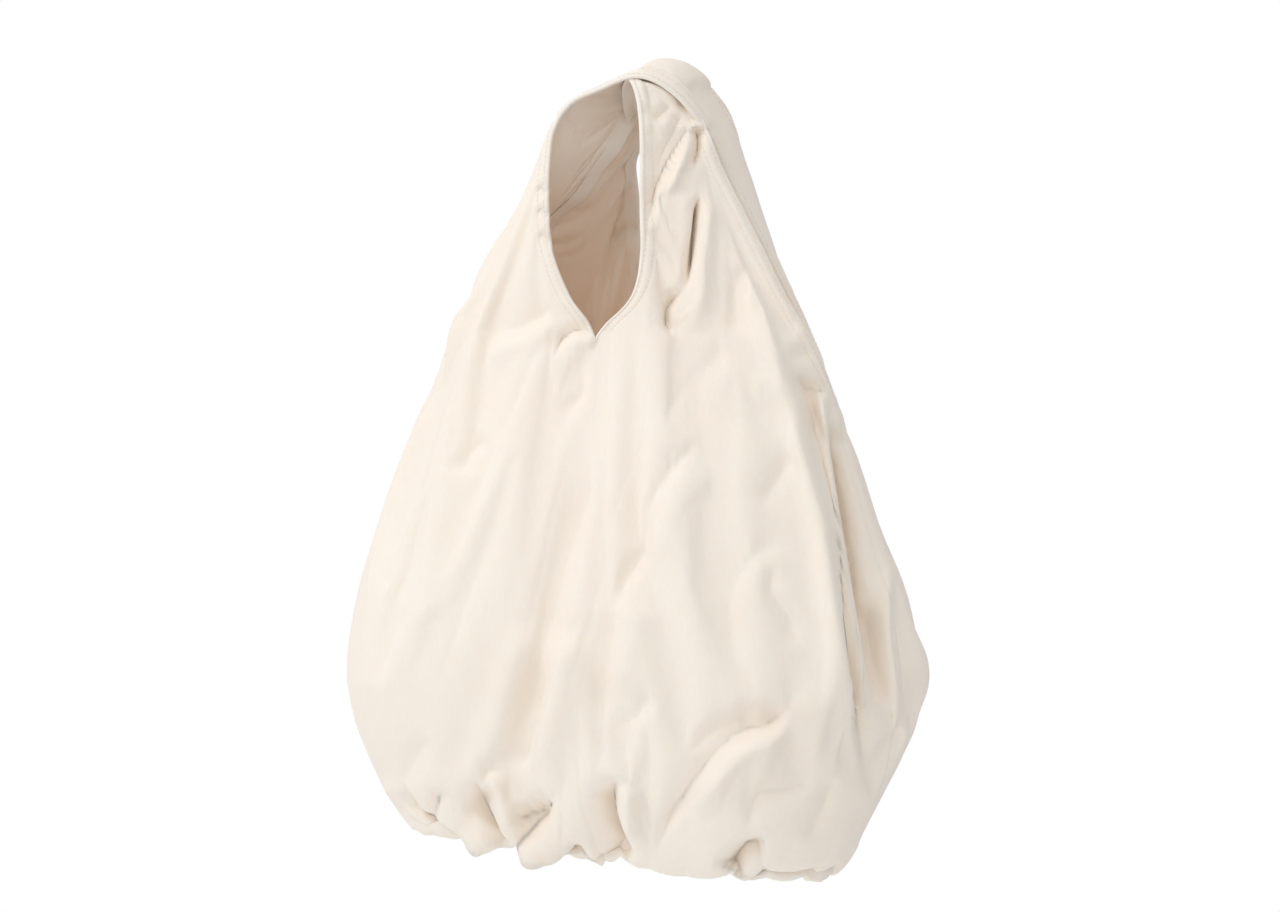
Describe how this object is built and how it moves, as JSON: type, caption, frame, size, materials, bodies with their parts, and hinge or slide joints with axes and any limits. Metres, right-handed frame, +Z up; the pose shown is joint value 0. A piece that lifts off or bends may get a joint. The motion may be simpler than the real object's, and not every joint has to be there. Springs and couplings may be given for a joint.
{
  "type": "tote bag",
  "caption": "Soft cream cotton tote bag with a balloon body gathered on to a small oval base, and legs that cross at the top into one short wide handle",
  "frame": {"origin": "On the underside of the handle, midway between the legs, where the bag hangs", "axes": "Front of the bag is -Y, its right side seen from the front is +X, up is +Z; metres"},
  "size_m": [0.434, 0.2153, 0.577],
  "materials": {
    "cream_cotton": "plain-woven cream cotton, matt, softly creased",
    "hem_cotton": "the same cream cotton, folded double and topstitched in cream thread",
    "base_cotton": "the same cream cotton, flat and a little darker in the shade"
  },
  "bodies": {
    "root": {"front_panel": "cream_cotton", "back_panel": "cream_cotton", "base_panel": "base_cotton", "outer_handle_band": "cream_cotton", "inner_handle_band": "cream_cotton", "outer_band_front_hem": "hem_cotton", "outer_band_back_hem": "hem_cotton", "inner_band_front_hem": "hem_cotton", "inner_band_back_hem": "hem_cotton"}
  },
  "joints": []
}
